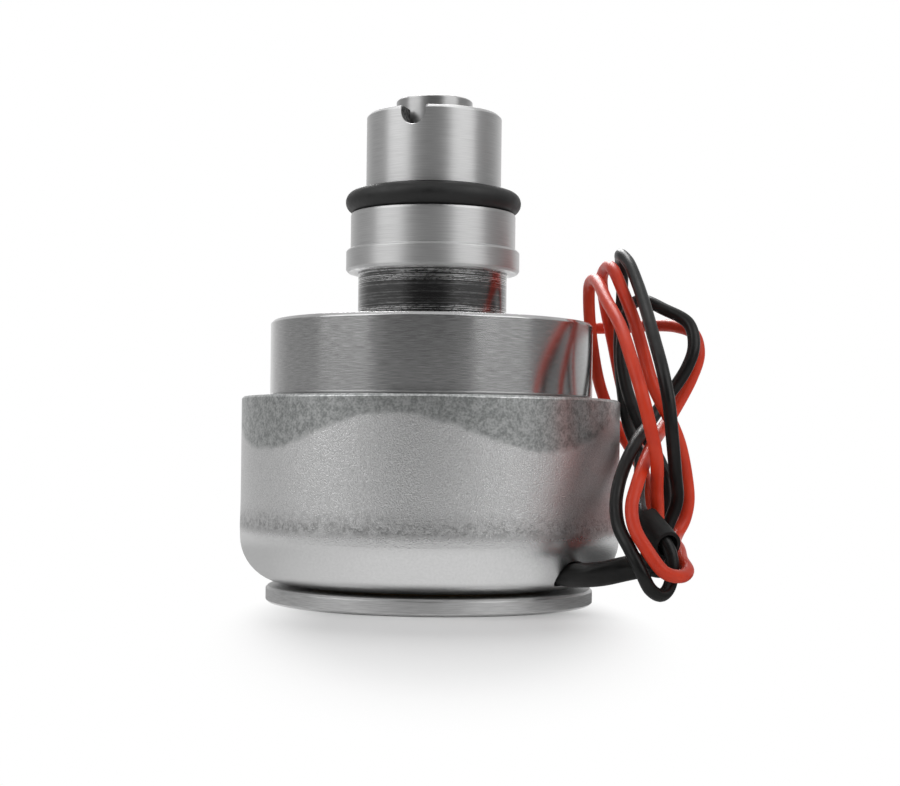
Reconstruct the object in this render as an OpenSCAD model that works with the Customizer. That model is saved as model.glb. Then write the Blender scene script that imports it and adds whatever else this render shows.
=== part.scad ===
// Push-in transmission solenoid: drawn case, spacer collar, stepped spigot with seal ring,
// flat armature below the case, and a pair of folded leads.
// The part stands on its armature plate, axis along +Z, floor at z = 0. Millimetres.

/* [Case] */
// Outside diameter of the drawn steel case
case_d = 50; // [48:0.5:54]
// Height of the case from its floor to its rim
case_h = 24.35; // [23:0.05:28]
// Wall thickness of the case
case_wall = 1.8; // [1.4:0.1:2.2]
// Outside radius of the case's lower corner
case_corner_r = 6; // [5:0.5:7]
// Bevel on the case's rim
case_rim_bevel = 0.2; // [0.1:0.05:0.5]

/* [Armature] */
// Diameter of the armature plate under the case
plate_d = 43.2; // [38:0.2:47]
// Thickness of the armature plate
plate_t = 2.1; // [1.6:0.1:3]
// Bevel on both edges of the armature plate
plate_bevel = 0.3; // [0.1:0.05:0.5]
// Thickness of the non-magnetic shim that keeps the plate off the case
shim_t = 0.3; // [0.2:0.05:0.6]
// Width of the shim's ring round the armature core
shim_w = 6; // [4:0.5:6.5]
// Travel of the armature from closed to open
travel = 2; // [1:0.1:2.5]
// Diameter of the armature core
core_d = 19.8; // [17:0.1:21]
// Length of the armature core above the plate
core_len = 10.9; // [8:0.1:12]
// Diameter of the push rod
rod_d = 5; // [4:0.1:5.6]

/* [Coil] */
// Wall of the bobbin's hub and upper flange
bobbin_wall = 1; // [0.8:0.1:1.4]
// Radial depth of the winding
winding_depth = 8.3; // [6:0.1:8.8]
// Thickness of the insulating wrap round the winding
wrap_t = 0.4; // [0.2:0.05:0.6]
// Thickness of the insulating washers at both ends of the bobbin
insulator_t = 0.4; // [0.2:0.05:0.6]

/* [Stator] */
// Thickness of the stator disc that closes the case
stator_t = 5; // [4.5:0.1:6]
// Length of the bush in the pole
pole_bush_len = 6; // [4:0.1:6.5]

/* [Collar] */
// Diameter of the spacer collar
collar_d = 42.6; // [34:0.2:46]
// Height of the spacer collar
collar_h = 10.05; // [8:0.05:14]
// Bevel on the collar's upper edge
collar_top_bevel = 0.4; // [0.2:0.05:0.8]
// Bevel on the collar's lower edge
collar_foot_bevel = 0.35; // [0.2:0.05:0.8]

/* [Spigot] */
// Diameter of the polished neck that the retainer grips
neck_d = 19.7; // [18:0.1:21]
// Length of the neck
neck_h = 6.6; // [5:0.05:9]
// Diameter of the retaining flange
flange_d = 23; // [22.4:0.1:26]
// Thickness of the retaining flange
flange_h = 3.05; // [2.6:0.05:4.5]
// Height of the bevel under the flange
flange_foot_bevel = 0.35; // [0.2:0.05:0.8]
// Diameter of the land below the seal ring
land_d = 21.85; // [20:0.05:22]
// Length of the land
land_h = 4.75; // [4:0.05:7]
// Diameter of the nose
nose_d = 17.9; // [17.6:0.1:19]
// Length of the nose above the land
nose_h = 13.1; // [11:0.1:18]
// Bevel on the nose's end
nose_bevel = 0.4; // [0.2:0.05:0.6]
// Width of the notch in the nose's end
notch_w = 3.3; // [2:0.1:4]
// Depth of the notch in the nose's end
notch_depth = 2.5; // [2.1:0.1:4]
// Direction of the notch round the axis
notch_angle = -108; // [-180:1:180]
// Diameter of the threaded tail that holds the collar on the stator
tail_d = 16; // [14:0.1:17]

/* [Seal ring] */
// Section of the seal ring
ring_section = 2.95; // [2.6:0.05:3.4]
// Diameter of the ring groove's floor
groove_d = 17.3; // [16.6:0.1:17.4]

/* [Plunger] */
// Diameter of the plunger
plunger_d = 10.1; // [9:0.1:11]
// Height of the plunger's end above the nose with the armature closed
plunger_proud = 2; // [1:0.1:3]
// Length of the plunger
plunger_len = 14.35; // [12:0.05:15]

/* [Return spring] */
// Wire diameter of the return spring
spring_wire_d = 0.8; // [0.5:0.1:0.8]
// Length of the return spring with the armature closed
spring_len = 12; // [9:0.1:14]
// Turns of the return spring
spring_turns = 7; // [5:0.5:7]

/* [Leads] */
// Diameter of each insulated lead
lead_d = 1.64; // [1.2:0.02:1.64]
// Width of the black sleeve where the leads leave the case
sleeve_w = 3.8; // [3.4:0.1:4]
// Height of the black sleeve
sleeve_h = 2.6; // [2.2:0.1:2.8]
// Outside diameter of the short tube slipped over the folded black lead
slip_tube_d = 3.5; // [3:0.1:3.6]
// Length of the stripped and tinned lead ends
tip_len = 2.5; // [1:0.1:3]

/* [Fits] */
// Radial clearance between pieces fixed to each other
fixed_fit = 0.03; // [0.02:0.01:0.05]
// Radial clearance between the sliding rod or plunger and its bore
sliding_fit = 0.05; // [0.02:0.01:0.08]
// Gap between end faces that meet
face_gap = 0.05; // [0.03:0.01:0.1]

/* [Hidden] */
$fn = 96;

STEEL = [0.62, 0.63, 0.64];
ZINC = [0.55, 0.56, 0.57];
BRONZE = [0.66, 0.49, 0.27];
COPPER = [0.6, 0.32, 0.16];
NYLON = [0.85, 0.82, 0.74];
WRAP = [0.72, 0.66, 0.46];
WASHER = [0.3, 0.2, 0.14];
RUBBER = [0.05, 0.05, 0.05];
RED_PVC = [0.76, 0.14, 0.08];
BLACK_PVC = [0.06, 0.06, 0.065];
TIN = [0.72, 0.72, 0.73];

// How far a cutting shape reaches past the face that it cuts
over = 1;

// Heights of the stack, from the floor up
plate_top = plate_t;
case_floor = plate_top + shim_t + face_gap;
case_inside = case_floor + case_wall;
case_rim = case_floor + case_h;
stator_foot = case_rim - stator_t;
collar_foot = case_rim + face_gap;
collar_top = case_rim + collar_h;
flange_foot = collar_top + neck_h;
flange_top = flange_foot + flange_h;
land_top = flange_top + land_h;
nose_top = land_top + nose_h;
plunger_top = nose_top + plunger_proud;

// Radii of the case, with a shallow step in its mouth that the stator sits in
stator_step = 0.5;
case_r = case_d / 2;
case_in_r = case_r - case_wall;
case_seat_r = case_in_r + stator_step;
case_in_corner_r = case_corner_r - case_wall;
case_flat_r = case_r - case_corner_r;

// Armature, rod and their bores
core_clear = 0.5;
core_bevel = 0.3;
pole_gap = 0.4;
core_r = core_d / 2;
core_hole_r = core_r + core_clear;
core_top = plate_top + core_len;
pole_face = core_top + pole_gap;
rod_clear = 0.4;
rod_groove_depth = 0.4;
rod_r = rod_d / 2;
rod_bore_r = rod_r + fixed_fit;
rod_slide_r = rod_r + sliding_fit;
rod_free_r = rod_r + rod_clear;
rod_groove_r = rod_r - rod_groove_depth;
rivet_recess = 0.2;
rivet_h = 1.3;
rivet_r = rod_r + rivet_h;
shim_in_r = core_r + fixed_fit;

// Seal and bush in the stator
tail_r = tail_d / 2;
tail_grip = 3.6;
tail_bevel = 0.5;
tail_foot = case_rim - tail_grip;
seal_section = 1.8;
seal_r = rod_slide_r + seal_section / 2;
seal_pocket_r = seal_r + seal_section / 2 + face_gap;
seal_pocket_foot = tail_foot - seal_section - 2 * face_gap;
bush_wall = 1.5;
bush_setback = 0.4;
bush_r = rod_r + bush_wall;
pole_bush_foot = pole_face + bush_setback;
pole_bush_top = min(pole_bush_foot + pole_bush_len, seal_pocket_foot - bush_setback);

// Plunger, guide bush and spring, from the top down
plunger_foot_bevel = 0.3;
plunger_top_bevel = 0.2;
plunger_r = plunger_d / 2;
plunger_bore_r = plunger_r + sliding_fit;
plunger_foot = plunger_top - plunger_len;
rod_grip = 6;
rod_top = plunger_foot + rod_grip;
guide_top = plunger_foot - travel - 2 * face_gap;
guide_len = 3;
guide_foot = guide_top - guide_len;
guide_flange_t = 1;
spring_top = guide_foot - guide_flange_t - face_gap;
spring_foot = spring_top - spring_len;
spring_clear = 0.3;
spring_r = rod_r + spring_clear + spring_wire_d;
spring_outer_r = spring_r + spring_wire_d / 2;
chamber_clear = 0.6;
bush_shoulder = 0.7;
chamber_r = max(spring_outer_r + chamber_clear, bush_r + bush_shoulder);
seat_t = 0.6;
seat_clear = 0.4;
seat_top = spring_foot - face_gap;
clip_t = 0.6;
clip_clear = 0.8;
clip_top = seat_top - seat_t - face_gap;
clip_foot = clip_top - clip_t;

// Oil grooves round the plunger, as heights above its foot, and the turning centre in its end
oil_groove_at = [3, 5];
oil_groove_w = 0.6;
oil_groove_depth = 0.3;
centre_depth = 0.6;
centre_r = 0.9;
centre_tip_r = 0.3;

// Seal ring on the spigot and the small bevels of the spigot's steps
groove_play = 0.3;
ring_r = groove_d / 2 + ring_section / 2 + fixed_fit;
groove_w = ring_section + groove_play;
ring_z = land_top + ring_section / 2 + fixed_fit;
flange_foot_run = 0.3;
flange_top_bevel = 0.3;
land_bevel = 0.2;

// Coil
flange_margin = 0.35;
splice_room = 2.2;
bobbin_bore_r = core_hole_r;
hub_r = bobbin_bore_r + bobbin_wall;
winding_r = hub_r + face_gap + winding_depth;
bobbin_flange_r = min(winding_r + wrap_t + flange_margin, case_in_r - splice_room);
winding_out_r = bobbin_flange_r - wrap_t - flange_margin;
lower_flange_t = 1.8;
lower_flange_bevel = 1.6;
edge_break = 0.05;
insulator_margin = 0.4;
insulator_foot = case_inside + face_gap;
bobbin_foot = insulator_foot + insulator_t + face_gap;
winding_foot = bobbin_foot + lower_flange_t + face_gap;
upper_insulator_top = stator_foot - face_gap;
bobbin_top = upper_insulator_top - insulator_t - face_gap;
winding_top = bobbin_top - bobbin_wall - face_gap;
insulator_r = case_flat_r - insulator_margin;
flange_chamfer = min(bobbin_flange_r - insulator_r, lower_flange_bevel);

// Joints between the winding wire and the leads
splice_r = 0.7;
splice_len = 7;
splice_rise = 5;
splice_turn = 7;

// Leads. The points of each route stand in order from the sleeve to the free end.
lead_r = lead_d / 2;
exit_angle = -43;
exit_z = 5;
exit_play = 0.3;
exit_setback = 0.5;
tip_share = 0.55;
slip_play = 0.5;
sleeve_route = [[15.9, -14.8, 5], [18, -16.6, 4.9], [21, -18, 5.2], [24, -18.4, 5.9], [26.9, -18, 6.5]];
red_route = [[27, -17.5, 7.2], [28, -16, 9], [28.3, -15, 12], [28, -16.2, 15.5], [27.5, -19.3, 19.5],
    [26.5, -20.2, 23.5], [25.5, -19.8, 27.5], [24.6, -17, 31.5], [23.7, -12, 36], [22.5, -6, 39.8],
    [22, -1, 42.3], [21.7, 2.5, 43.2], [21.4, 5.5, 42.8], [21.5, 7.3, 40.5], [22, 8, 35.5],
    [23.5, 10, 29], [25.5, 11, 24.5], [28.5, 8.5, 19], [30.5, 4.5, 13.5], [30.5, 1.5, 10.5],
    [29.5, -2.5, 10], [28.5, -4.5, 13], [28, -2, 18], [27.5, 4.5, 23], [26.4, 9.3, 29],
    [25.8, 10, 32], [25.2, 10.2, 35], [24.5, 10, 38], [23.8, 9.2, 41], [23.2, 7, 43.8],
    [23.5, 3.5, 45], [24, -0.5, 44.2], [25, -3.5, 41], [26.2, -6, 37], [27, -9, 33],
    [27.9, -11, 29], [29.1, -11, 26.4], [30.6, -10, 23.9], [31.8, -9, 21.3], [32.8, -8, 17.5],
    [33.1, -8.3, 14], [32.6, -8.6, 11.6], [31.5, -9.8, 9.8], [30.9, -12, 8.9], [31, -15, 8.1],
    [30.9, -18, 7], [31.2, -20.8, 5.9], [30, -23.3, 5.4], [27.8, -25, 6], [25.8, -24.3, 8.6],
    [24.5, -22.8, 11.1], [24.3, -21.3, 13.6], [25.1, -19.8, 16.2], [26.2, -17.1, 18.5], [28, -11, 21],
    [29.8, -5, 22.7], [32, -1.8, 25.5], [34.3, -2, 30], [35.2, -2, 33], [34.8, -0.5, 35.8],
    [33, 2.5, 37], [29.8, 7.5, 37.5], [27, 11.7, 37.5], [23.2, 13.8, 37.5]];
black_route = [[27, -18.5, 5.8], [28.4, -18.1, 5.6], [29.3, -16.4, 6.1], [29.1, -14.2, 8.2], [29.8, -13.2, 10.8],
    [30.8, -13.9, 14], [30.2, -16.5, 17.8], [29.6, -18, 21.8], [29.1, -18, 26.2], [28.5, -16.8, 30],
    [27.9, -13, 34.2], [27.3, -8, 38.8], [26.7, -4, 42.3], [26, -0.5, 45.2], [25.3, 2.5, 46.6],
    [25.6, 5.5, 46.2], [26.1, 7.8, 44], [26.1, 8.4, 40.5], [25.7, 7, 35], [25.8, 4.5, 29.5],
    [26.3, 1, 24], [27.3, -4.5, 19.3], [26.3, -11.5, 14.6], [26.4, -17.4, 12], [28.8, -19.8, 9],
    [29.4, -20.4, 7], [29.3, -20.8, 5], [28.7, -21.6, 3.6], [27.6, -23, 3.1], [26.3, -24, 3.9],
    [25.2, -24.4, 5.9], [23.9, -23.2, 8.6], [22.8, -21.3, 11.1], [22.6, -19.6, 13.6], [23.1, -18, 16.2],
    [24.2, -16, 18.9], [25.9, -12.8, 21.6], [27.6, -8.5, 23.3], [29.5, -6, 25.8], [33, -6, 31],
    [34, -5.5, 34], [33.5, -4, 37], [30.5, -2, 39], [28, 0.2, 40.3], [26.7, 2.2, 39.8],
    [26, 3.4, 37.6], [25.7, 3.5, 34.8], [25.6, 2.4, 32], [25.9, 0.6, 29.2], [26.5, -1, 26.6],
    [27.3, -2.4, 24.2], [28.5, -3.7, 21.6], [29.9, -5.2, 18.8], [30.6, -6.5, 16.2], [30.6, -7, 13.8],
    [30, -7.2, 11.4]];
slip_tube_at = 23;

// A ring of revolution between two radii and two heights
module ring(r_in, r_out, z0, z1) {
    translate([0, 0, z0])
        difference() {
            cylinder(r = r_out, h = z1 - z0);
            translate([0, 0, -over])
                cylinder(r = r_in, h = z1 - z0 + 2 * over);
        }
}

// A disc with a bevel on its lower and upper edge
module bevelled_disc(r, z0, z1, foot, top) {
    rotate_extrude()
        polygon([[0, z0], [r - foot, z0], [r, z0 + foot], [r, z1 - top], [r - top, z1], [0, z1]]);
}

// A plain cylinder along the axis, for a solid or for a hole
module round_bar(r, z0, z1) {
    translate([0, 0, z0])
        cylinder(r = r, h = z1 - z0);
}

// Unit direction of a vector
function unit(v) = v / norm(v);

// Direction of a route at one of its points
function heading(p, i) = unit(p[min(i + 1, len(p) - 1)] - p[max(i - 1, 0)]);

// A side direction at each point, carried along the route so that the rings do not twist
function carried(p, i = 0, side = [0, 0, 1]) =
    let (t = heading(p, i), s = unit(side - (side * t) * t))
    i == len(p) - 1 ? [s] : concat([s], carried(p, i + 1, s));

// A closed tube along a route, an ellipse of half width a and half height b
module tube_along(p, a, b, sides = 8) {
    s = carried(p);
    n = len(p);
    turn = 360 / sides;
    points = [for (i = [0:n - 1])
        let (w = cross(s[i], heading(p, i)))
            for (k = [0:sides - 1]) p[i] + b * cos(turn * k) * s[i] + a * sin(turn * k) * w];
    walls = [for (i = [0:n - 2]) for (k = [0:sides - 1])
        let (here = i * sides, next = (k + 1) % sides)
            [here + k, here + next, here + sides + next, here + sides + k]];
    foot = [[for (k = [sides - 1:-1:0]) k]];
    top = [[for (k = [0:sides - 1]) (n - 1) * sides + k]];
    polyhedron(points = points, faces = concat(foot, walls, top), convexity = 10);
}

// Turns a shape that stands along z so that it runs from one point towards another
module aimed(from, to) {
    d = to - from;
    translate(from)
        rotate([0, acos(d[2] / norm(d)), atan2(d[1], d[0])])
            children();
}

// Drawn case

// Half profile of a drawn cup with a rounded lower corner
module cup_profile(r, corner, z0, z1) {
    translate([0, z0])
        square([r - corner, z1 - z0]);
    translate([0, z0 + corner])
        square([r, z1 - z0 - corner]);
    translate([r - corner, z0 + corner])
        circle(r = corner);
}

// Oblong hole in the lower corner for the sleeve
module lead_hole() {
    half = (sleeve_w - sleeve_h) / 2;
    hole_r = sleeve_h / 2 + exit_play;
    reach = case_corner_r + exit_setback + over;
    rotate([0, 0, exit_angle])
        translate([case_flat_r - exit_setback, 0, exit_z])
            rotate([0, 90, 0]) {
                for (side = [-half, half])
                    translate([0, side, 0])
                        cylinder(r = hole_r, h = reach);
                translate([-hole_r, -half, 0])
                    cube([2 * hole_r, 2 * half, reach]);
            }
}

module case() {
    rim_cut = case_rim_bevel + over;
    color(ZINC)
        difference() {
            rotate_extrude()
                difference() {
                    cup_profile(case_r, case_corner_r, case_floor, case_rim);
                    cup_profile(case_in_r, case_in_corner_r, case_inside, case_rim + over);
                    translate([0, stator_foot])
                        square([case_seat_r, stator_t + over]);
                    translate([0, case_floor - over])
                        square([core_hole_r, case_wall + 2 * over]);
                    polygon([[case_r - rim_cut, case_rim + over], [case_r + over, case_rim - rim_cut],
                        [case_r + over, case_rim + over]]);
                }
            lead_hole();
        }
}

// Stator with its pole, bush and shaft seal

module stator() {
    color(STEEL)
        difference() {
            union() {
                round_bar(case_seat_r - fixed_fit, stator_foot, case_rim);
                round_bar(core_r, pole_face, stator_foot + over);
            }
            round_bar(tail_r + fixed_fit, tail_foot - face_gap, case_rim + over);
            round_bar(seal_pocket_r, seal_pocket_foot, tail_foot + over);
            round_bar(rod_free_r, pole_face - over, tail_foot);
            round_bar(bush_r + fixed_fit, pole_face - over, pole_bush_top + face_gap);
        }
}

module pole_bush() {
    color(BRONZE)
        ring(rod_slide_r, bush_r, pole_bush_foot, pole_bush_top);
}

module shaft_seal() {
    color(RUBBER)
        translate([0, 0, tail_foot - face_gap - seal_section / 2])
            rotate_extrude()
                translate([seal_r, 0])
                    circle(r = seal_section / 2);
}

// Coil on its bobbin

module bobbin() {
    lower_top = bobbin_foot + lower_flange_t;
    color(NYLON)
        difference() {
            union() {
                round_bar(hub_r, bobbin_foot, bobbin_top);
                bevelled_disc(bobbin_flange_r, bobbin_foot, lower_top, flange_chamfer, edge_break);
                round_bar(bobbin_flange_r, bobbin_top - bobbin_wall, bobbin_top);
            }
            round_bar(bobbin_bore_r, bobbin_foot - over, bobbin_top + over);
        }
}

module coil_winding() {
    color(COPPER)
        ring(hub_r + face_gap, winding_out_r, winding_foot, winding_top);
}

module coil_wrap() {
    color(WRAP)
        ring(winding_out_r + face_gap, winding_out_r + wrap_t, winding_foot, winding_top);
}

module lower_insulator() {
    color(WASHER)
        ring(core_hole_r, insulator_r, insulator_foot, insulator_foot + insulator_t);
}

module upper_insulator() {
    color(WASHER)
        ring(core_hole_r, bobbin_flange_r, upper_insulator_top - insulator_t, upper_insulator_top);
}

// Two joints between winding wire and leads, lying on the wrap
module lead_splices() {
    from_axis = winding_out_r + wrap_t + face_gap + splice_r;
    color(TIN)
        for (turn = [-splice_turn, splice_turn])
            rotate([0, 0, exit_angle + turn])
                translate([from_axis, 0, case_inside + splice_rise])
                    cylinder(r = splice_r, h = splice_len);
}

// Spacer collar

module collar() {
    color(STEEL)
        difference() {
            bevelled_disc(collar_d / 2, collar_foot, collar_top, collar_foot_bevel, collar_top_bevel);
            round_bar(tail_r + fixed_fit, collar_foot - over, collar_top + over);
        }
}

// Stepped spigot with groove, notch and stepped bore

// Slot with a round floor, cut through one side of the nose
module nose_notch() {
    notch_r = notch_w / 2;
    rotate([0, 0, notch_angle])
        translate([0, 0, nose_top - notch_depth + notch_r])
            rotate([0, 90, 0]) {
                cylinder(r = notch_r, h = nose_d);
                translate([-notch_depth - over, -notch_r, 0])
                    cube([notch_depth + over, notch_w, nose_d]);
            }
}

module spigot() {
    neck_r = neck_d / 2;
    flange_r = flange_d / 2;
    land_r = land_d / 2;
    groove_r = groove_d / 2;
    groove_top = land_top + groove_w;
    nose_r = nose_d / 2;
    neck_foot = collar_top + face_gap;
    tail_profile = [[0, tail_foot], [tail_r - tail_bevel, tail_foot], [tail_r, tail_foot + tail_bevel],
        [tail_r, neck_foot], [neck_r, neck_foot], [neck_r, flange_foot]];
    flange_profile = [[flange_r - flange_foot_run, flange_foot], [flange_r, flange_foot + flange_foot_bevel],
        [flange_r, flange_top - flange_top_bevel], [flange_r - flange_top_bevel, flange_top]];
    land_profile = [[land_r, flange_top], [land_r, land_top - land_bevel], [land_r - land_bevel, land_top],
        [groove_r, land_top], [groove_r, groove_top]];
    nose_profile = [[nose_r, groove_top], [nose_r, nose_top - nose_bevel], [nose_r - nose_bevel, nose_top],
        [0, nose_top]];
    color(STEEL)
        difference() {
            rotate_extrude()
                polygon(concat(tail_profile, flange_profile, land_profile, nose_profile));
            round_bar(chamber_r, tail_foot - over, guide_foot);
            round_bar(bush_r + fixed_fit, guide_foot - over, guide_top);
            round_bar(plunger_bore_r, guide_top, nose_top + over);
            nose_notch();
        }
}

module guide_bush() {
    flange_base = guide_foot - guide_flange_t;
    color(BRONZE)
        difference() {
            union() {
                round_bar(bush_r, guide_foot - guide_flange_t / 2, guide_top);
                round_bar(chamber_r - fixed_fit, flange_base, guide_foot - face_gap);
            }
            round_bar(rod_slide_r, flange_base - over, guide_top + over);
        }
}

module seal_ring() {
    color(RUBBER)
        translate([0, 0, ring_z])
            rotate_extrude()
                translate([ring_r, 0])
                    circle(r = ring_section / 2);
}

// Return spring, a helix that rises slowly over its closed end turns

dead_share = 0.1;
dead_rise = 0.035;
function spring_rise(u) =
    u < dead_share ? u * dead_rise / dead_share
    : u > 1 - dead_share ? 1 - (1 - u) * dead_rise / dead_share
    : dead_rise + (u - dead_share) * (1 - 2 * dead_rise) / (1 - 2 * dead_share);

module return_spring() {
    wire_r = spring_wire_d / 2;
    steps = 12 * spring_turns;
    lift = spring_len - spring_wire_d;
    route = [for (i = [0:steps])
        let (u = i / steps, a = 360 * spring_turns * u)
            [spring_r * cos(a), spring_r * sin(a), spring_foot + wire_r + lift * spring_rise(u)]];
    color(STEEL)
        tube_along(route, wire_r, wire_r, 6);
}

// Leads with their sleeve and slip tube

module lead_sleeve() {
    color(RUBBER)
        tube_along(sleeve_route, sleeve_w / 2, sleeve_h / 2, 12);
}

module red_lead() {
    color(RED_PVC)
        tube_along(red_route, lead_r, lead_r);
}

module black_lead() {
    color(BLACK_PVC)
        tube_along(black_route, lead_r, lead_r);
}

// Stripped end that continues the last run of a lead
module lead_tip(route) {
    last = len(route) - 1;
    way = unit(route[last] - route[last - 1]);
    aimed(route[last] + way * face_gap, route[last] + way)
        cylinder(r = lead_r * tip_share, h = tip_len, $fn = 32);
}

module red_lead_tip() {
    color(TIN)
        lead_tip(red_route);
}

module black_lead_tip() {
    color(TIN)
        lead_tip(black_route);
}

module slip_tube() {
    from = black_route[slip_tube_at];
    to = black_route[slip_tube_at + 1];
    color(RUBBER)
        aimed(from, to)
            ring(lead_r + slip_play, slip_tube_d / 2, 0, norm(to - from));
}

// Armature

module armature_plate() {
    color(STEEL)
        difference() {
            bevelled_disc(plate_d / 2, 0, plate_top, plate_bevel, plate_bevel);
            round_bar(rod_bore_r, -over, plate_top + over);
            translate([0, 0, rivet_recess - fixed_fit])
                cylinder(r1 = rivet_r + fixed_fit, r2 = rod_bore_r, h = rivet_h);
            round_bar(rivet_r + fixed_fit, -over, rivet_recess);
        }
}

module armature_core() {
    color(STEEL)
        difference() {
            bevelled_disc(core_r, plate_top + face_gap, core_top, core_bevel, core_bevel);
            round_bar(rod_bore_r, plate_top - over, core_top + over);
        }
}

module residual_shim() {
    color(BRONZE)
        ring(shim_in_r, shim_in_r + shim_w, plate_top + face_gap / 2, plate_top + shim_t);
}

module push_rod() {
    color(TIN)
        difference() {
            union() {
                round_bar(rod_r, rivet_recess, rod_top);
                translate([0, 0, rivet_recess])
                    cylinder(r1 = rivet_r, r2 = rod_r, h = rivet_h - 2 * fixed_fit);
            }
            ring(rod_groove_r, rod_r + over, clip_foot - face_gap, clip_top + face_gap);
        }
}

// Snap ring in the rod's groove, open on one side
module rod_clip() {
    mouth = 1.7 * rod_groove_r;
    color(STEEL)
        difference() {
            ring(rod_groove_r + fixed_fit, chamber_r - clip_clear, clip_foot, clip_top);
            translate([0, -mouth / 2, clip_foot - over])
                cube([chamber_r, mouth, clip_t + 2 * over]);
        }
}

module spring_seat() {
    color(STEEL)
        ring(rod_bore_r, chamber_r - seat_clear, seat_top - seat_t, seat_top);
}

module plunger() {
    color(STEEL)
        difference() {
            bevelled_disc(plunger_r, plunger_foot, plunger_top, plunger_foot_bevel, plunger_top_bevel);
            round_bar(rod_bore_r, plunger_foot - over, rod_top + face_gap);
            translate([0, 0, plunger_top - centre_depth])
                cylinder(r1 = centre_tip_r, r2 = centre_r, h = centre_depth + fixed_fit);
            for (h = oil_groove_at)
                translate([0, 0, plunger_foot + h])
                    ring(plunger_r - oil_groove_depth, plunger_r + over, 0, oil_groove_w);
        }
}

case();
stator();
pole_bush();
shaft_seal();
bobbin();
coil_winding();
coil_wrap();
lower_insulator();
upper_insulator();
lead_splices();
collar();
spigot();
guide_bush();
seal_ring();
return_spring();
lead_sleeve();
red_lead();
black_lead();
red_lead_tip();
black_lead_tip();
slip_tube();
armature_plate();
armature_core();
residual_shim();
push_rod();
rod_clip();
spring_seat();
plunger();
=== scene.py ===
import itertools
import math

import bmesh
import bpy
import numpy as np
from mathutils import Matrix, Vector


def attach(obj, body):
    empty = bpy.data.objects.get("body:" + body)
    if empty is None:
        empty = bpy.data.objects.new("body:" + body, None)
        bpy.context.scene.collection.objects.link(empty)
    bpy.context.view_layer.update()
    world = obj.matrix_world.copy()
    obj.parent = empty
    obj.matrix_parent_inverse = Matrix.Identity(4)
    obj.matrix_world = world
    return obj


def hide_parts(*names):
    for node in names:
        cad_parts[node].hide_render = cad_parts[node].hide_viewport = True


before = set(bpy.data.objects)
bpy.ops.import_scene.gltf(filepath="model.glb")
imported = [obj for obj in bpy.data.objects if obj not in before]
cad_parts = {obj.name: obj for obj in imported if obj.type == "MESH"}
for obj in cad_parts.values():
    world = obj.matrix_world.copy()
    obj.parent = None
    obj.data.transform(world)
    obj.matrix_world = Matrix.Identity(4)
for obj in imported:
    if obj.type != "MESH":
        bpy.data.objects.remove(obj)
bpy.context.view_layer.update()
scene = bpy.context.scene
scene.view_settings.view_transform = "Standard"

# Drawn case
# A steel cup, deep drawn and zinc plated, that holds the coil and carries the magnetic flux. The draw
# left a mottled band with a wavy lower edge below the rim, a fine grain on the wall and a scuffed line
# above the smooth lower corner. An oblong hole in that corner lets the leads out.


def softened(corners, cuts, steps, closed):
    """Profile of radii and heights whose corners are rounded by circular arcs.
    Each arc leaves one edge and meets the next at the cut's distance from the corner c. With a and b
    as those two points and w the sine of half the corner's angle, it is the rational curve
    ((1-t)^2 a + 2 w t (1-t) c + t^2 b) / ((1-t)^2 + 2 w t (1-t) + t^2).
    A spare point beside each end of an arc keeps the shading of the flats flat."""
    c = np.asarray(corners, float)
    cut = np.broadcast_to(np.asarray(cuts, float), len(c))[:, None]
    before = np.roll(c, 1, 0) - c
    after = np.roll(c, -1, 0) - c
    before = before / np.linalg.norm(before, axis=1, keepdims=True) * cut
    after = after / np.linalg.norm(after, axis=1, keepdims=True) * cut
    cosine = (before * after).sum(1, keepdims=True) / cut**2
    weight = np.sqrt((1 - cosine) / 2)[:, None]
    t = np.linspace(0, 1, steps)[None, :, None]
    a, b, c = (c + before)[:, None], (c + after)[:, None], c[:, None]
    upper = (1 - t) ** 2 * a + 2 * weight * t * (1 - t) * c + t**2 * b
    arc = upper / ((1 - t) ** 2 + 2 * weight * t * (1 - t) + t**2)
    spare = np.minimum(cut, 0.1)[:, None] / cut[:, None] * 0.3
    points = np.concatenate([a + before[:, None] * spare, arc, b + after[:, None] * spare], 1)
    if closed:
        return points.reshape(-1, 2)
    return np.vstack([c[0], points[1:-1].reshape(-1, 2), c[-1]])


def surface(name, points, round_u=True, round_v=False):
    """A piece made of one grid of points, rows by columns, in millimetres; its mesh is in metres.
    Each quad joins a point with the next of its row and of its column, and round_u and round_v join
    the last column or row to the first. Points that fall together, as at a pole, are merged.
    The map called turning runs round the piece in u and along it, in millimetres, in v."""
    rows, cols = points.shape[:2]
    r = np.arange(rows if round_v else rows - 1)[:, None]
    c = np.arange(cols if round_u else cols - 1)[None, :]
    below, above = r * cols, (r + 1) % rows * cols
    quads = np.stack([below + c, below + (c + 1) % cols, above + (c + 1) % cols, above + c], -1)
    mesh = bpy.data.meshes.new(name)
    mesh.from_pydata(points.reshape(-1, 3) * 0.001, [], quads.reshape(-1, 4).tolist())
    along = np.append(0, np.cumsum(np.linalg.norm(np.diff(points[:, 0], axis=0), axis=1)))
    along = np.append(along, along[-1] + np.linalg.norm(points[0, 0] - points[-1, 0]))
    u = np.broadcast_to(np.stack([c, c + 1, c + 1, c], -1) / cols, (len(r), c.size, 4))
    v = np.broadcast_to(np.stack([along[r], along[r], along[r + 1], along[r + 1]], -1), u.shape)
    mesh.uv_layers.new(name="turning").data.foreach_set("uv", np.stack([u, v], -1).ravel())
    return settled(name, mesh)


sharp_edge = math.radians(35)


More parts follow.
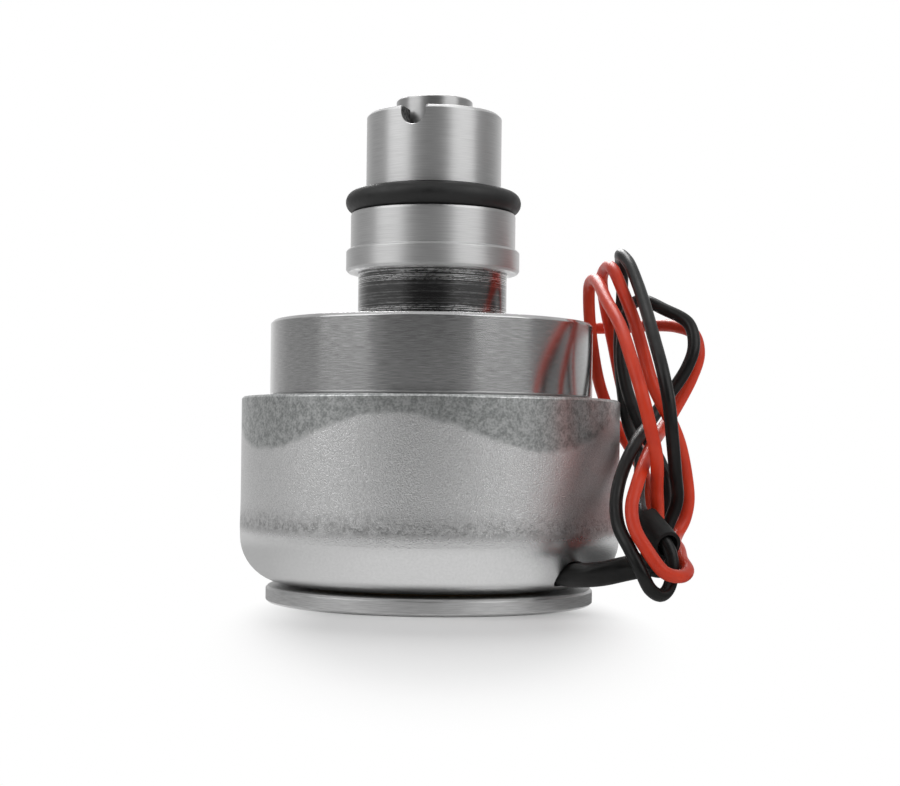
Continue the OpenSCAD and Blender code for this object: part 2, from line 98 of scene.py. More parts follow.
def settled(name, mesh):
    """Merges a mesh's doubled points, turns its faces outwards, smooths it and makes it a piece."""
    work = bmesh.new()
    work.from_mesh(mesh)
    bmesh.ops.remove_doubles(work, verts=work.verts, dist=1e-7)
    bmesh.ops.recalc_face_normals(work, faces=work.faces)
    work.to_mesh(mesh)
    work.free()
    mesh.polygons.foreach_set("use_smooth", np.ones(len(mesh.polygons), bool))
    mesh.set_sharp_from_angle(angle=sharp_edge)
    piece = bpy.data.objects.new(name, mesh)
    scene.collection.objects.link(piece)
    return piece


def turned(name, profile, closed=True, sides=192):
    """A turned piece: its profile carried once round the axis,
    point(a, i) = (r_i cos a, r_i sin a, z_i)."""
    a = np.linspace(0, 2 * np.pi, sides, endpoint=False)
    r, z = profile.T
    points = np.stack([np.outer(r, np.cos(a)), np.outer(r, np.sin(a)), np.outer(z, np.ones(sides))], -1)
    return surface(name, points, True, closed)


def slot_cutter(name, reaches, half_widths, half_straight, lift):
    """A bar with rounded sides that cuts a slot along +x.
    Row i lies at x = reaches_i, and its outline is a circle of half_widths_i whose halves stand
    half_straight off the middle along y; lift raises the upper half so that the slot opens upwards."""
    a = np.linspace(0, 2 * np.pi, 48, endpoint=False)
    x = np.repeat(reaches, [2] + [1] * (len(reaches) - 2) + [2])
    h = np.concatenate([[0], half_widths, [0]])
    y = np.outer(h, np.cos(a)) + np.where(h[:, None] > 0, np.sign(np.cos(a)) * half_straight, 0)
    z = np.outer(h, np.sin(a)) + np.where((h[:, None] > 0) & (np.sin(a) > 1e-9), lift, 0)
    return surface(name, np.stack([np.broadcast_to(x[:, None], y.shape), y, z], -1))


def cut_away(piece, cutter, turn, place):
    """Takes the room of a cutter, lifted into place and turned round the axis, out of a piece."""
    way = Matrix.Rotation(math.radians(turn), 4, "Z") @ Matrix.Translation(place)
    cutter.data.transform(way)
    knife = piece.modifiers.new("cut", "BOOLEAN")
    knife.object, knife.operation, knife.solver = cutter, "DIFFERENCE", "EXACT"
    cut = bpy.data.meshes.new_from_object(piece.evaluated_get(bpy.context.evaluated_depsgraph_get()))
    piece.modifiers.clear()
    piece.data = cut
    cut.set_sharp_from_angle(angle=sharp_edge)
    bpy.data.objects.remove(cutter)


def plug(node, inputs):
    """Sets each input of a shader node to a value, or links it to another node's socket."""
    for key, value in dict(inputs).items():
        if isinstance(value, bpy.types.NodeSocket):
            node.id_data.links.new(value, node.inputs[key])
        else:
            node.inputs[key].default_value = value


def add(material, kind, inputs=(), **settings):
    """Adds a shader node with its settings and inputs."""
    made = material.node_tree.nodes.new(kind)
    for key, value in settings.items():
        setattr(made, key, value)
    plug(made, inputs)
    return made


def blank(name):
    """A new material with a Principled shader; returns both."""
    material = bpy.data.materials.new(name)
    material.use_nodes = True
    return material, material.node_tree.nodes["Principled BSDF"]


def reckon(material, operation, *values):
    """A Math node's result."""
    return add(material, "ShaderNodeMath", enumerate(values), operation=operation).outputs[0]


def bearing(material, xyz):
    """Angle round the axis in radians, 0 at -Y and growing towards +X, from separated coordinates."""
    return reckon(material, "ARCTAN2", xyz.outputs["X"], reckon(material, "MULTIPLY", xyz.outputs["Y"], -1))


def ramp(material, value, stops):
    """A Color Ramp over a value: stops are (position, grey or colour)."""
    made = add(material, "ShaderNodeValToRGB", {"Fac": value})
    while len(made.color_ramp.elements) < len(stops):
        made.color_ramp.elements.new(1)
    for element, (position, shade) in zip(made.color_ramp.elements, stops):
        element.position = position
        element.color = (shade, shade, shade, 1) if np.isscalar(shade) else (*shade, 1)
    return made.outputs["Color"]


def mixed(material, share, first, second):
    """Two colours mixed: a share of 0 gives the first, and 1 the second."""
    return add(material, "ShaderNodeMix", {0: share, 6: first, 7: second}, data_type="RGBA").outputs[2]


def spread(material, value, low, high, to_low=0.0, to_high=1.0, smooth=True):
    """A value mapped from one range to another and held inside it."""
    kind = "SMOOTHSTEP" if smooth else "LINEAR"
    return add(material, "ShaderNodeMapRange", {
        "Value": value, "From Min": low, "From Max": high, "To Min": to_low, "To Max": to_high},
        interpolation_type=kind).outputs["Result"]


def grain(material, place, scale, detail=2.0, stretch=(1, 1, 1), **settings):
    """A noise over a place, stretched along the axes."""
    where = add(material, "ShaderNodeMapping", {"Vector": place, "Scale": stretch}).outputs[0]
    return add(material, "ShaderNodeTexNoise", {"Vector": where, "Scale": scale, "Detail": detail},
               **settings).outputs["Fac"]


def bumped(material, height, strength, distance):
    """A normal that follows a height; distance is in metres."""
    return add(material, "ShaderNodeBump", {
        "Height": height, "Strength": strength, "Distance": distance}).outputs[0]


case = turned("drawn_case", softened(
    [(23.7, 26.8), (24.7, 26.8), (25, 26.5), (25, 12.8), (25.07, 9.9), (24.85, 2.45), (10.4, 2.45),
     (10.4, 4.25), (23.2, 4.25), (23.2, 21.8), (23.7, 21.8)],
    [0.08, 0.08, 0.08, 1.2, 0.15, 6, 0.15, 0.15, 4.2, 0.1, 0.1], 13, True))
hole_turn, hole_height = -43, 0.005
cut_away(case, slot_cutter("lead_hole", [18.5, 26], [1.6, 1.6], 0.6, 0), hole_turn, (0, 0, hole_height))

zinc, shader = blank("zinc_plate")
place = add(zinc, "ShaderNodeTexCoord").outputs["Object"]
xyz = add(zinc, "ShaderNodeSeparateXYZ", {"Vector": place})
height = xyz.outputs["Z"]
waves, wave_turn, wave_rise, wave_height = 4, math.radians(44), 0.0023, 0.02225
wave = reckon(zinc, "COSINE", reckon(zinc, "MULTIPLY_ADD", bearing(zinc, xyz), waves, wave_turn))
edge = reckon(zinc, "MULTIPLY_ADD", wave, wave_rise, wave_height)
rag = 0.0011
ragged = reckon(zinc, "MULTIPLY_ADD", grain(zinc, place, 900, 4), rag, -rag / 2)
band = spread(zinc, reckon(zinc, "SUBTRACT", reckon(zinc, "ADD", height, ragged), edge), -0.0005, 0.0006)
patches = grain(zinc, place, 1200, 5)
speckle = grain(zinc, place, 3600, 3)
peel = grain(zinc, place, 6000, 2)
blur, corner_top, wall_foot, scuff_low, scuff_high = 0.0012, 0.0088, 0.0104, 0.0094, 0.0132
blurred = reckon(zinc, "MULTIPLY_ADD", reckon(zinc, "ADD", speckle, patches), blur,
                 reckon(zinc, "SUBTRACT", height, blur))
drawn = spread(zinc, blurred, corner_top, wall_foot)
scuffed = reckon(zinc, "MULTIPLY", drawn, spread(zinc, blurred, scuff_low, scuff_high, 1.0, 0.0))
band_grey = ramp(zinc, reckon(zinc, "MULTIPLY_ADD", speckle, 0.55, reckon(zinc, "MULTIPLY", patches, 0.45)),
                 [(0.4, (0.37, 0.38, 0.38)), (0.5, (0.53, 0.545, 0.54)), (0.6, (0.68, 0.69, 0.685))])
wall_grey = ramp(zinc, peel, [(0.35, 0.70), (0.65, 0.90)])
corner_grey = ramp(zinc, speckle, [(0.3, 0.82), (0.7, 0.88)])
scuff_grey = ramp(zinc, reckon(zinc, "MULTIPLY_ADD", speckle, 0.5, reckon(zinc, "MULTIPLY", patches, 0.5)),
                  [(0.4, 0.34), (0.57, 0.68)])
worn = mixed(zinc, scuffed, mixed(zinc, drawn, corner_grey, wall_grey), scuff_grey)
pressed = reckon(zinc, "MULTIPLY", spread(zinc, drawn, 0, 1, 0.4, 1.0, False),
                 spread(zinc, band, 0, 1, 1.0, 0.3))
plug(shader, {
    "Base Color": mixed(zinc, band, worn, band_grey), "Metallic": 1,
    "Roughness": spread(zinc, drawn, 0, 1, 0.24, 0.36, False),
    "Normal": bumped(zinc, peel, pressed, 0.00006)})
case.data.materials.append(zinc)
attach(case, "housing")
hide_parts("case")

# Collar
# A turned steel disc that spaces the case from the retainer. It lies on the stator, and the spigot's
# tail passes through it. Fine tool lines run round its side and its faces.


def turned_steel(name, grey, roughness, uneven, rounds, stretched):
    """Turned steel: short tool marks that run round the piece, lighter and darker than its grey, and a
    gloss that the marks stretch along the axis. rounds is the number of marks in one turn."""
    steel, shader = blank(name)
    turning = add(steel, "ShaderNodeUVMap", uv_map="turning").outputs[0]
    marks_per_mm, drift = 11, 0.02
    marks = grain(steel, turning, 1, 3, (rounds, marks_per_mm, 1), noise_dimensions="2D")
    plug(shader, {
        "Base Color": ramp(steel, marks, [(0.3, grey - uneven), (0.7, grey + uneven)]), "Metallic": 1,
        "Roughness": spread(steel, marks, 0.3, 0.7, roughness - drift, roughness + drift, False),
        "Anisotropic": stretched, "Anisotropic Rotation": 0.25,
        "Tangent": add(steel, "ShaderNodeTangent", direction_type="UV_MAP", uv_map="turning").outputs[0]})
    return steel


collar = turned("spacer_collar", softened(
    [(8.03, 26.85), (20.95, 26.85), (21.3, 27.2), (21.3, 36.45), (20.9, 36.85), (8.03, 36.85)],
    [0.1, 0.1, 0.1, 0.08, 0.08, 0.1], 5, True))
collar.data.materials.append(turned_steel("collar_steel", 0.63, 0.23, 0.05, 80, 0.8))
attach(collar, "housing")
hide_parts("collar")

# Spigot
# One turned steel piece: a tail that screws into the stator, a neck that is polished and scratched by
# the retainer, a flange, a land, the groove of the seal ring, and a nose. The nose has a bore with a
# relieved mouth and a milled notch in its end.

spigot = turned("stepped_spigot", softened(
    [(4.7, 23.2), (7.5, 23.2), (8, 23.7), (8, 36.9), (9.85, 36.9), (9.85, 43.45), (11.2, 43.45),
     (11.5, 43.8), (11.5, 46.2), (11.2, 46.5), (10.925, 46.5), (10.925, 50.95), (10.84, 51.25),
     (8.65, 51.25), (8.65, 54.5), (8.95, 54.5), (8.95, 63.95), (8.55, 64.35), (5.4, 64.35), (5.4, 61),
     (5.1, 60.6), (5.1, 49.9), (4.03, 49.9), (4.03, 46.9), (4.7, 46.9)],
    0.06, 5, True))
notch_turn, notch_height = -108, 0.0635
cut_away(spigot, slot_cutter("notch", [0, 8.8, 9.4], [1.65, 1.65, 1.95], 0, 6), notch_turn,
         (0, 0, notch_height))
spigot.data.materials.append(turned_steel("spigot_steel", 0.65, 0.42, 0.05, 16, 0.75))

neck_foot, neck_middle, neck_top, neck_out = 0.0369, 0.0402, 0.04345, 0.0097
polish, shader = blank("neck_polish_painted_shade_and_highlights")
place = add(polish, "ShaderNodeTexCoord").outputs["Object"]
height = add(polish, "ShaderNodeSeparateXYZ", {"Vector": place}).outputs["Z"]
rub = add(polish, "ShaderNodeTexNoise", {"W": height, "Scale": 5000.0, "Detail": 2.0},
          noise_dimensions="1D").outputs["Fac"]
from_middle = reckon(polish, "ABSOLUTE", reckon(polish, "SUBTRACT", height, neck_middle))
ends = spread(polish, from_middle, 0.0008, 0.0022)
broken = grain(polish, place, 260, 3, (1, 1, 12))
dotted = spread(polish, grain(polish, place, 1500, 3, (1, 1, 4)), 0.36, 0.56, 0.4, 1.0)
scratch_and_highlight = spread(polish, reckon(polish, "MULTIPLY_ADD", broken, 0.35, rub), 0.66, 0.76)
scratch_and_highlight = reckon(polish, "MULTIPLY", scratch_and_highlight, spread(polish, ends, 0, 1, 0.25, 1.0, False))
scratch_and_highlight = reckon(polish, "MULTIPLY", scratch_and_highlight, dotted)
# The polished neck's grey is painted dark, 0.23, as painted reflection of the dark room it mirrors, and its
# scratches are painted light, up to 0.85, as painted highlights where they catch the lamps; their rougher
# gloss is real.
plug(shader, {
    "Base Color": ramp(polish, scratch_and_highlight, [(0, 0.23), (0.8, 0.85)]), "Metallic": 1,
    "Roughness": spread(polish, scratch_and_highlight, 0, 1, 0.19, 0.32, False)})
spigot.data.materials.append(polish)

# The notch's walls and floor keep a torn, milled grain, and their grey is painted dark, 0.08 to 0.3, as
# painted shade in the recess.
milled, shader = blank("milled_notch_painted_shade")
torn = grain(milled, add(milled, "ShaderNodeTexCoord").outputs["Object"], 2200, 4)
plug(shader, {
    "Base Color": ramp(milled, torn, [(0.38, 0.08), (0.62, 0.3)]), "Metallic": 1, "Roughness": 0.5,
    "Normal": bumped(milled, torn, 0.6, 0.00008)})
spigot.data.materials.append(milled)

middles = np.empty(len(spigot.data.polygons) * 3)
spigot.data.polygons.foreach_get("center", middles)
x, y, z = middles.reshape(-1, 3).T
out = np.hypot(x, y)
on_neck = (z > neck_foot) & (z < neck_top) & (out > neck_out)
notch_x, notch_y = math.cos(math.radians(notch_turn)), math.sin(math.radians(notch_turn))
along, beside = x * notch_x + y * notch_y, y * notch_x - x * notch_y
# Faces in the notch, which take the painted shade.
in_notch = ((z > 0.0617) & (z < 0.0643) & (out > 0.00545) & (out < 0.0088)
            & (along > 0) & (abs(beside) < 0.0018))
spigot.data.polygons.foreach_set("material_index", (on_neck + 2 * in_notch).astype(np.int32))
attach(spigot, "housing")
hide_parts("spigot")

# Seal ring
# A moulded ring of black nitrile rubber, stretched into the spigot's groove. It seals the bore.

ring_out, ring_height, ring_r = 10.155, 52.755, 1.475
a = np.linspace(0, 2 * np.pi, 40, endpoint=False)
seal_ring = turned("seal_ring_rubber",
                   np.stack([ring_out + ring_r * np.cos(a), ring_height + ring_r * np.sin(a)], -1))
rubber, shader = blank("nitrile_rubber")
place = add(rubber, "ShaderNodeTexCoord").outputs["Object"]
bloom = grain(rubber, place, 700, 4)
plug(shader, {
    "Base Color": ramp(rubber, bloom, [(0.3, 0.007), (0.7, 0.013)]),
    "Roughness": spread(rubber, bloom, 0.3, 0.7, 0.45, 0.58),
    "Normal": bumped(rubber, grain(rubber, place, 5000, 2), 0.15, 0.00003)})
seal_ring.data.materials.append(rubber)
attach(seal_ring, "housing")
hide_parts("seal_ring")

# Plunger
# A ground steel pin on the end of the push rod. It slides in the nose and has two oil grooves and a
# turning centre in its end.

plunger = turned("plunger_pin", softened(
    [(0, 58.05), (2.53, 58.05), (2.53, 52), (4.75, 52), (5.05, 52.3), (5.05, 55), (4.75, 55), (4.75, 55.6),
     (5.05, 55.6), (5.05, 57), (4.75, 57), (4.75, 57.6), (5.05, 57.6), (5.05, 66.15), (4.85, 66.35),
     (0.9, 66.35), (0.3, 65.75), (0, 65.75)],
    0.05, 4, False), False)
plunger.data.materials.append(turned_steel("plunger_steel", 0.52, 0.36, 0.03, 10, 0.75))
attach(plunger, "armature")
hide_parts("plunger")

# Armature plate
# A stamped and faced steel disc that the magnet pulls against the case. The push rod is riveted
# through its middle.

plate = turned("armature_disc", softened(
    [(2.53, 2.1), (21.3, 2.1), (21.6, 1.8), (21.6, 0.3), (21.3, 0), (3.83, 0), (3.83, 0.2), (2.53, 1.5)],
    [0.08, 0.08, 0.08, 0.08, 0.08, 0.05, 0.05, 0.05], 5, True))
plate.data.materials.append(turned_steel("plate_steel", 0.6, 0.44, 0.09, 50, 0.6))
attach(plate, "armature")
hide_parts("armature_plate")

# Inside pieces
# Stator, coil, bushes, core, rod and spring are hidden by the case, but for the stator's rim round the
# collar, the rod's riveted end and the shim in the open gap. They keep their solids and get a finish each.


def plain_finish(name, low, high, roughness, metallic, scale):
    """A finish whose shade and gloss drift between two limits with a fine noise."""
    finish, shader = blank(name)
    drift = grain(finish, add(finish, "ShaderNodeTexCoord").outputs["Object"], scale, 4)
    plug(shader, {
        "Base Color": ramp(finish, drift, [(0.3, low), (0.7, high)]), "Metallic": metallic,
        "Roughness": spread(finish, drift, 0.3, 0.7, roughness - 0.06, roughness + 0.06),
        "Normal": bumped(finish, drift, 0.2, 0.00003)})
    return finish


inside_finishes = {
    "stator": plain_finish("faced_steel", 0.46, 0.58, 0.35, 1, 900),
    "armature_core": plain_finish("core_steel", 0.46, 0.56, 0.35, 1, 900),
    "push_rod": plain_finish("ground_steel", 0.58, 0.68, 0.2, 1, 1200),
    "rod_clip": plain_finish("spring_steel", 0.3, 0.42, 0.3, 1, 900),
    "bobbin": plain_finish("moulded_nylon", (0.7, 0.66, 0.55), (0.78, 0.74, 0.64), 0.45, 0, 600),
    "coil_winding": plain_finish("enamelled_copper", (0.4, 0.15, 0.05), (0.55, 0.24, 0.1), 0.3, 1, 2500),
    "coil_wrap": plain_finish("wrap_tape", (0.5, 0.42, 0.2), (0.58, 0.5, 0.28), 0.4, 0, 600),
    "lower_insulator": plain_finish("pressed_fibre", (0.1, 0.05, 0.03), (0.16, 0.09, 0.05), 0.6, 0, 1500),
    "pole_bush": plain_finish("sintered_bronze", (0.4, 0.24, 0.08), (0.52, 0.34, 0.14), 0.4, 1, 2200),
    "lead_splices": plain_finish("tinned_joint", 0.5, 0.64, 0.3, 1, 2500),
    "shaft_seal": rubber,
}
same_finish = {
    "upper_insulator": "lower_insulator", "guide_bush": "pole_bush", "residual_shim": "pole_bush",
    "return_spring": "rod_clip", "spring_seat": "rod_clip",
}
for name in [*inside_finishes, *same_finish]:
    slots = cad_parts[name].data.materials
    slots.clear()
    slots.append(inside_finishes[same_finish.get(name, name)])

# Leads
# Two stranded copper leads in red and black insulation, folded to and fro and tucked beside the
# case. Each starts in the sleeve and ends in a short stripped and tinned end.


def smooth_route(points, step):
    """Evenly spaced points on the smooth curve through a route's points.
    Between two points the curve is the centripetal Catmull-Rom blend of them and their neighbours,
    with knots as far apart as the square root of the distance between the points."""
    p = np.asarray(points, float)
    p = np.vstack([2 * p[0] - p[1], p, 2 * p[-1] - p[-2]])
    knots = np.append(0, np.cumsum(np.sqrt(np.linalg.norm(np.diff(p, axis=0), axis=1))))[:, None, None]
    q = p[:, None]
    t0, t1, t2, t3 = knots[:-3], knots[1:-2], knots[2:-1], knots[3:]
    t = t1 + (t2 - t1) * np.linspace(0, 1, 24, endpoint=False)[None, :, None]
    first = ((t1 - t) * q[:-3] + (t - t0) * q[1:-2]) / (t1 - t0)
    middle = ((t2 - t) * q[1:-2] + (t - t1) * q[2:-1]) / (t2 - t1)
    last = ((t3 - t) * q[2:-1] + (t - t2) * q[3:]) / (t3 - t2)
    left = ((t2 - t) * first + (t - t0) * middle) / (t2 - t0)
    right = ((t3 - t) * middle + (t - t1) * last) / (t3 - t1)
    line = (((t2 - t) * left + (t - t1) * right) / (t2 - t1)).reshape(-1, 3)
    line = np.vstack([line, p[-2]])
    run = np.append(0, np.cumsum(np.linalg.norm(np.diff(line, axis=0), axis=1)))
    even = np.linspace(0, run[-1], int(run[-1] / step) + 1)
    return np.stack([np.interp(even, run, line[:, k]) for k in range(3)], -1)


def carried_sides(line):
    """Side and across direction at each point of a line, both square to its heading. The side is
    carried from point to point and made square again, so that a tube's rings do not twist."""
    heading = np.gradient(line, axis=0)
    heading /= np.linalg.norm(heading, axis=1, keepdims=True)

    def carry(side, way):
        side = side - way * (side @ way)
        return side / np.linalg.norm(side)

    start = np.array([0.12, 0.31, 1.0])
    side = np.array(list(itertools.accumulate(heading, carry, initial=start))[1:])
    return side, np.cross(heading, side)


def tube(name, line, half_width, half_height, rings, shares, sides=20, closed=False):
    """A tube along a line. Ring k lies round the line's point rings_k, and its outline is an ellipse
    with the half sizes times shares_k: point = centre + side b cos a + across w sin a."""
    side, across = carried_sides(line)
    a = np.linspace(0, 2 * np.pi, sides, endpoint=False)[None, :, None]
    shares = np.asarray(shares, float)[:, None, None]
    points = (line[rings][:, None] + shares * half_height * np.cos(a) * side[rings][:, None]
              + shares * half_width * np.sin(a) * across[rings][:, None])
    return surface(name, points, True, closed)


def insulation(name, low, high, roughness, creased=0):
    """Extruded insulation: a colour with faint drift, and a soft gloss. creased is the depth, in
    metres, of the creases that run along a thin sleeve."""
    skin, shader = blank(name)
    place = add(skin, "ShaderNodeTexCoord").outputs["Object"]
    normal = bumped(skin, grain(skin, place, 900, 2), 0.1, 0.00004)
    if creased:
        turning = add(skin, "ShaderNodeUVMap", uv_map="turning").outputs[0]
        creases = grain(skin, turning, 1, 1, (4, 0.16, 1), noise_dimensions="2D")
        normal = add(skin, "ShaderNodeBump", {
            "Height": creases, "Distance": creased, "Normal": normal}).outputs[0]
    plug(shader, {
        "Base Color": ramp(skin, grain(skin, place, 300, 3), [(0.3, low), (0.7, high)]),
        "Roughness": spread(skin, grain(skin, place, 900, 3), 0.3, 0.7, roughness - 0.05, roughness + 0.08),
        "Normal": normal, "Specular IOR Level": 0.3})
    return skin


red_route = [
    (27, -17.5, 7.2), (28, -16, 9), (28.3, -15, 12), (28, -16.2, 15.5), (27.5, -19.3, 19.5),
    (26.5, -20.2, 23.5), (25.5, -19.8, 27.5), (24.6, -17, 31.5), (23.7, -12, 36), (22.5, -6, 39.8),
    (22, -1, 42.3), (21.7, 2.5, 43.2), (21.4, 5.5, 42.8), (21.5, 7.3, 40.5), (22, 8, 35.5), (23.5, 10, 29),
    (25.5, 11, 24.5), (28.5, 8.5, 19), (30.5, 4.5, 13.5), (30.5, 1.5, 10.5), (29.5, -2.5, 10),
    (28.5, -4.5, 13), (28, -2, 18), (27.5, 4.5, 23), (26.4, 9.3, 29), (25.8, 10, 32), (25.2, 10.2, 35),
    (24.5, 10, 38), (23.8, 9.2, 41), (23.2, 7, 43.8), (23.5, 3.5, 45), (24, -0.5, 44.2), (25, -3.5, 41),
    (26.2, -6, 37), (27, -9, 33), (27.9, -11, 29), (29.1, -11, 26.4), (30.6, -10, 23.9), (31.8, -9, 21.3),
    (32.8, -8, 17.5), (33.1, -8.3, 14), (32.6, -8.6, 11.6), (31.5, -9.8, 9.8), (30.9, -12, 8.9),
    (31, -15, 8.1), (30.9, -18, 7), (31.2, -20.8, 5.9), (30, -23.3, 5.4), (27.8, -25, 6),
    (25.8, -24.3, 8.6), (24.5, -22.8, 11.1), (24.3, -21.3, 13.6), (25.1, -19.8, 16.2), (26.2, -17.1, 18.5),
    (28, -11, 21), (29.8, -5, 22.7), (32, -1.8, 25.5), (34.3, -2, 30), (35.2, -2, 33), (34.8, -0.5, 35.8),
    (33, 2.5, 37), (29.8, 7.5, 37.5), (27, 11.7, 37.5), (23.2, 13.8, 37.5)]
black_route = [
    (27, -18.5, 5.8), (28.4, -18.1, 5.6), (29.3, -16.4, 6.1), (29.1, -14.2, 8.2), (29.8, -13.2, 10.8),
    (30.8, -13.9, 14), (30.2, -16.5, 17.8), (29.6, -18, 21.8), (29.1, -18, 26.2), (28.5, -16.8, 30),
    (27.9, -13, 34.2), (27.3, -8, 38.8), (26.7, -4, 42.3), (26, -0.5, 45.2), (25.3, 2.5, 46.6),
    (25.6, 5.5, 46.2), (26.1, 7.8, 44), (26.1, 8.4, 40.5), (25.7, 7, 35), (25.8, 4.5, 29.5), (26.3, 1, 24),
    (27.3, -4.5, 19.3), (26.3, -11.5, 14.6), (26.4, -17.4, 12), (28.8, -19.8, 9), (29.4, -20.4, 7),
    (29.3, -20.8, 5), (28.7, -21.6, 3.6), (27.6, -23, 3.1), (26.3, -24, 3.9), (25.2, -24.4, 5.9),
    (23.9, -23.2, 8.6), (22.8, -21.3, 11.1), (22.6, -19.6, 13.6), (23.1, -18, 16.2), (24.2, -16, 18.9),
    (25.9, -12.8, 21.6), (27.6, -8.5, 23.3), (29.5, -6, 25.8), (33, -6, 31), (34, -5.5, 34), (33.5, -4, 37),
    (30.5, -2, 39), (28, 0.2, 40.3), (26.7, 2.2, 39.8), (26, 3.4, 37.6), (25.7, 3.5, 34.8), (25.6, 2.4, 32),
    (25.9, 0.6, 29.2), (26.5, -1, 26.6), (27.3, -2.4, 24.2), (28.5, -3.7, 21.6), (29.9, -5.2, 18.8),
    (30.6, -6.5, 16.2), (30.6, -7, 13.8), (30, -7.2, 11.4)]

lead_r = 0.82
strand_r = lead_r * 0.55 / 3
strand_twist = 1.3
strand_turns = np.append(np.linspace(0, 2 * np.pi, 6, endpoint=False), 0)
bare = np.linspace(-0.3, 2.5, 15)
tinned = inside_finishes["lead_splices"]
red_pvc = insulation("red_insulation", (0.57, 0.034, 0.011), (0.66, 0.05, 0.016), 0.38)
black_pvc = insulation("black_insulation", (0.006, 0.006, 0.006), (0.012, 0.012, 0.0115), 0.36)
for colour, route, skin, long in [("red", red_route, red_pvc, 0.27),
                                  ("black", black_route, black_pvc, 0.209)]:
    line = smooth_route(route, 0.4)
    last = len(line) - 1
    rings = np.r_[0, 0, 1:last, last, last, last]
    shares = np.r_[0, np.ones(last), 0.95, 0.6, 0]
    lead = tube(f"{colour}_lead_insulation", line, lead_r, lead_r, rings, shares)
    lead.data.materials.append(skin)

    # The stripped end is seven strands, one in the middle and six wound round it
    way = line[-1] - line[-2]
    way /= np.linalg.norm(way)
    core = line[-1] + bare[:, None] * way
    side, across = carried_sides(core)
    strands = []
    for k, turn in enumerate(strand_turns):
        out = 2 * strand_r * (k < 6)
        wound = (turn + bare * strand_twist)[:, None]
        path = core + out * (np.cos(wound) * side + np.sin(wound) * across)
        strands.append(tube(f"{colour}_strand_{k}", path, strand_r, strand_r,
                            np.r_[0, 0:bare.size, bare.size - 1], np.r_[0, np.ones(bare.size), 0], 8))
    with bpy.context.temp_override(active_object=strands[0], object=strands[0], selected_objects=strands,
                                   selected_editable_objects=strands):
        bpy.ops.object.join()
    tip = strands[0]
    tip.name = tip.data.name = f"{colour}_lead_strands"
    tip.data.materials.append(tinned)
    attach(tip, "housing")
    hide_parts(f"{colour}_lead_tip")
    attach(lead, "housing")
    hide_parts(f"{colour}_lead")

# Sleeve
# A flattened and faintly creased black sleeve that guards both leads where they leave the case's hole.


def open_tube(name, line, half_width, half_height, bore, sides):
    """A tube with a bore: its rings run along the outside and back along the inside, which is bore
    times the outside's size, with one ring between them on the far end's face."""
    n = len(line)
    return tube(name, line, half_width, half_height, np.r_[0:n, n - 1, np.arange(n)[::-1]],
                np.r_[np.ones(n), (1 + bore) / 2, np.full(n, bore)], sides, True)


sleeve_line = smooth_route([(15.9, -14.8, 5), (18, -16.6, 4.9), (21, -18, 5.2), (24, -18.4, 5.9),
                            (26.9, -18, 6.5)], 0.3)
sleeve = open_tube("lead_sleeving", sleeve_line, 1.9, 1.5, 0.8, 28)
sleeve.data.materials.append(
    insulation("black_sleeving", (0.006, 0.006, 0.006), (0.012, 0.012, 0.011), 0.4, 0.0008))
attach(sleeve, "housing")
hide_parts("lead_sleeve")

# Slip tube
# A short length of black tubing, slipped over the folded black lead. Its lower mouth is open and cut
# askew: the far side of the tube is drawn out along its heading, and the near side is set back.

slip_r = 1.75
slip_line = np.linspace((26.4, -17.4, 12), (28.8, -19.8, 9), 12)
slip_tube = open_tube("slipped_tube", slip_line, slip_r, slip_r, 0.76, 32)
heading = (slip_line[-1] - slip_line[0]) / np.linalg.norm(slip_line[-1] - slip_line[0])
far_side = np.array([0.35, 0.75, -0.55])
slant, slant_shift, slip_length = 0.45, 0.4, 4.5
spots = np.array([v.co for v in slip_tube.data.vertices]) * 1000
along = (spots - slip_line[0]) @ heading
behind = (spots - slip_line[0] - along[:, None] * heading) @ far_side
drawn_out = slant * (behind + slant_shift) * np.clip(along / slip_length, 0, 1) ** 2
slip_tube.data.vertices.foreach_set("co", ((spots + drawn_out[:, None] * heading) / 1000).ravel())
# Its black is painted a shade lighter than the sleeve's, as painted light for its lit upper face.
slip_tube.data.materials.append(
    insulation("slip_tubing", (0.009, 0.009, 0.009), (0.015, 0.015, 0.014), 0.5))
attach(slip_tube, "housing")
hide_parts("slip_tube")

# Floor
# A white sheet under the part. Its shade near the part is what the lamps give; further off it goes
# over to the white of the surroundings.


def in_view(material):
    """1 for a ray from the camera, from a glossy surface or through a clear one, and 0 for others."""
    ray = add(material, "ShaderNodeLightPath").outputs
    return reckon(material, "MAXIMUM", ray["Is Camera Ray"],
                  reckon(material, "MAXIMUM", ray["Is Glossy Ray"], ray["Is Transmission Ray"]))


sheet_height = -0.02
grid_x, grid_y = np.meshgrid(np.linspace(-600, 600, 25), np.linspace(-225, 800, 25))
floor = surface("floor_sheet", np.stack([grid_x, grid_y, np.full(grid_x.shape, sheet_height)], -1), False)
paper, shader = blank("white_sheet")
plug(shader, {"Base Color": (0.88, 0.88, 0.88, 1), "Roughness": 0.9})
shade_half_x, shade_half_y, shade_offset = 0.024, 0.066, (-0.042, 0.53, 0)
oval = add(paper, "ShaderNodeMapping", {
    "Vector": add(paper, "ShaderNodeTexCoord").outputs["Object"], "Location": shade_offset,
    "Scale": (1 / shade_half_x, 1 / shade_half_y, 0)}).outputs[0]
far = add(paper, "ShaderNodeVectorMath", {0: oval}, operation="LENGTH").outputs["Value"]
lift = reckon(paper, "MULTIPLY", in_view(paper), spread(paper, far, 0.5, 1.1))
white = add(paper, "ShaderNodeEmission", {"Color": (1, 1, 1, 1), "Strength": 1.0}).outputs[0]
blend = add(paper, "ShaderNodeMixShader", {0: lift, 1: shader.outputs[0], 2: white}).outputs[0]
plug(paper.node_tree.nodes["Material Output"], {"Surface": blend})
floor.data.materials.append(paper)

